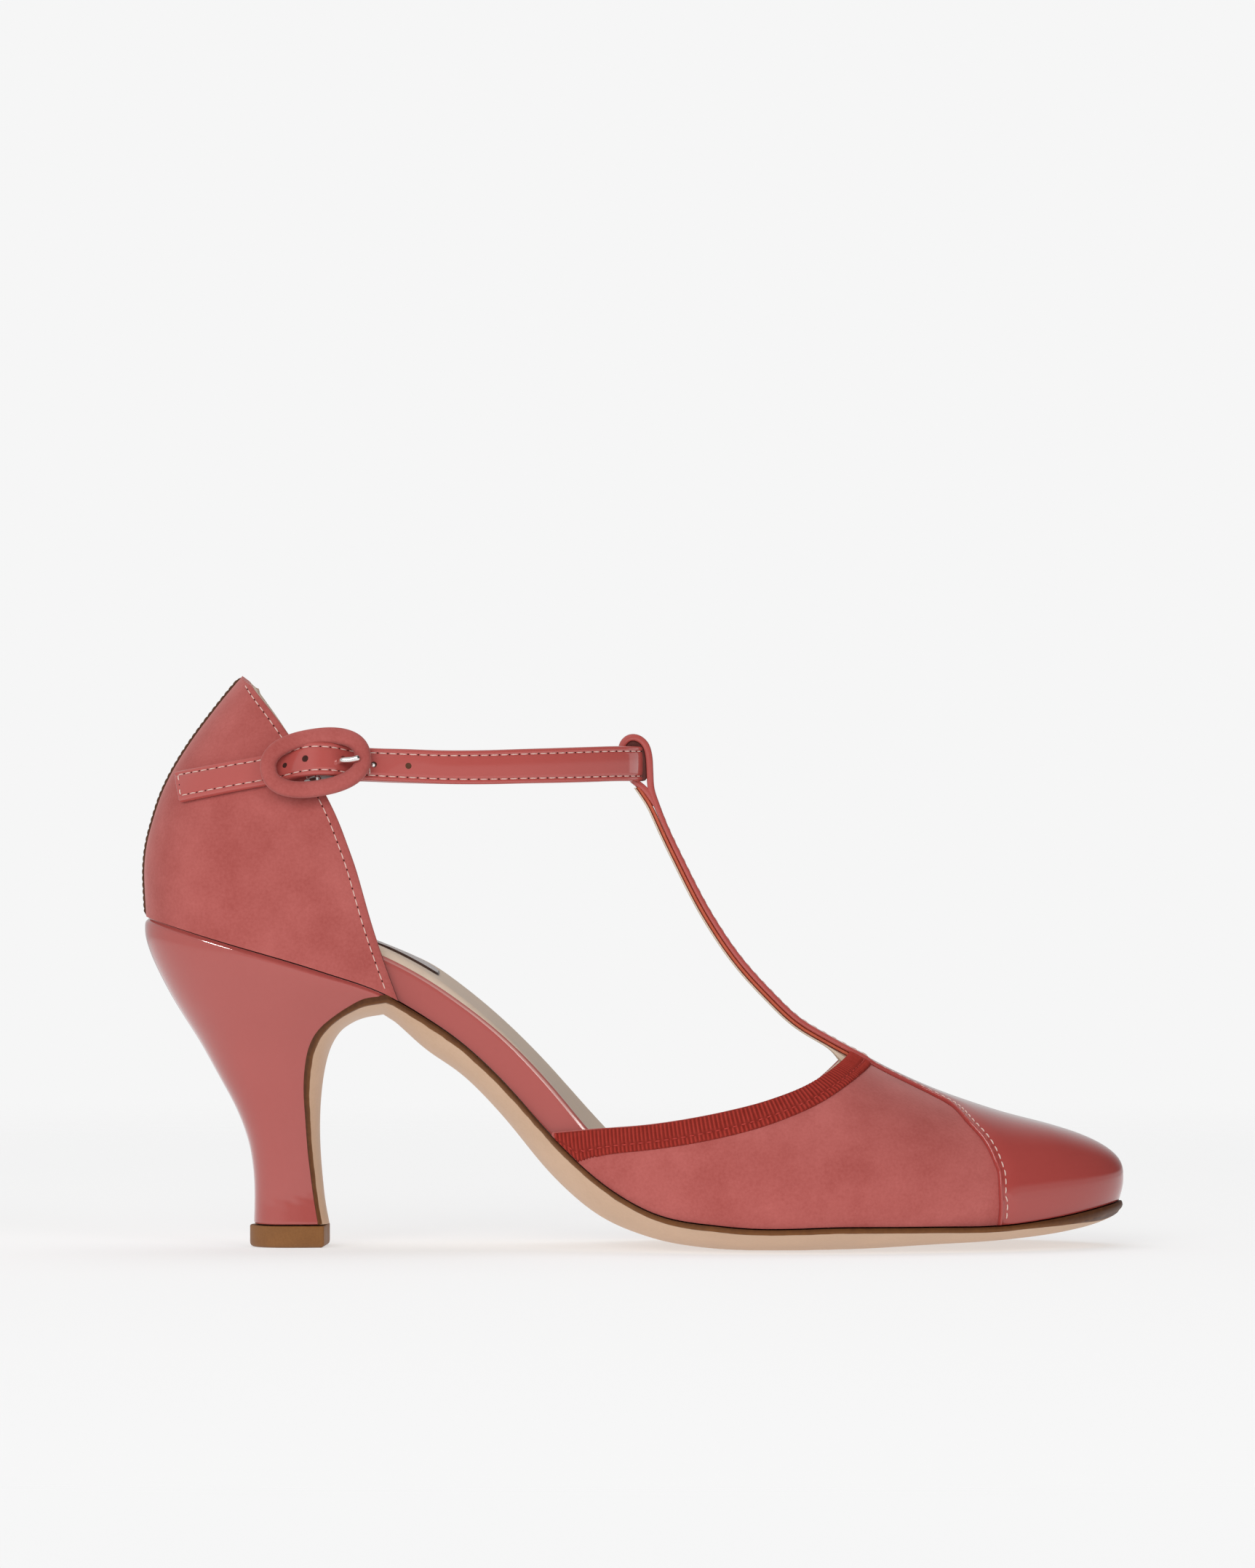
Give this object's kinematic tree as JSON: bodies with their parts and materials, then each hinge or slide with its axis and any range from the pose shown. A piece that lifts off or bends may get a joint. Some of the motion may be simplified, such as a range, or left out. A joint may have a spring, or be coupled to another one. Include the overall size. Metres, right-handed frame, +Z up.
{
  "type": "pump shoe",
  "caption": "Women's T-strap pump with a hollow suede upper, patent toe cap, buckled ankle strap, open waist and a high curved covered heel, standing on its sole.",
  "frame": {"origin": "on the floor, at the middle of the shoe's length and width", "axes": "+X from heel to toe, +Y to the inner side of the foot, +Z up"},
  "size_m": [0.2291, 0.0772, 0.1332],
  "materials": {
    "suede": "rose suede, short nap",
    "patent": "rose patent, high gloss",
    "insole_wrap": "rose patent edge with a beige leather sock on top",
    "sole_leather": "tan satin bottom, dark stained edge",
    "rubber": "matt brown",
    "metal": "polished"
  },
  "bodies": {
    "root": {"outsole": "sole_leather", "heel": "patent", "top_piece": "rubber", "insole": "insole_wrap", "vamp": "suede", "toe_cap": "patent", "counter": "suede", "t_strap": "patent", "ankle_strap": "patent", "buckle_frame": "suede", "buckle_bar": "metal", "buckle_prong": "metal"}
  },
  "joints": []
}
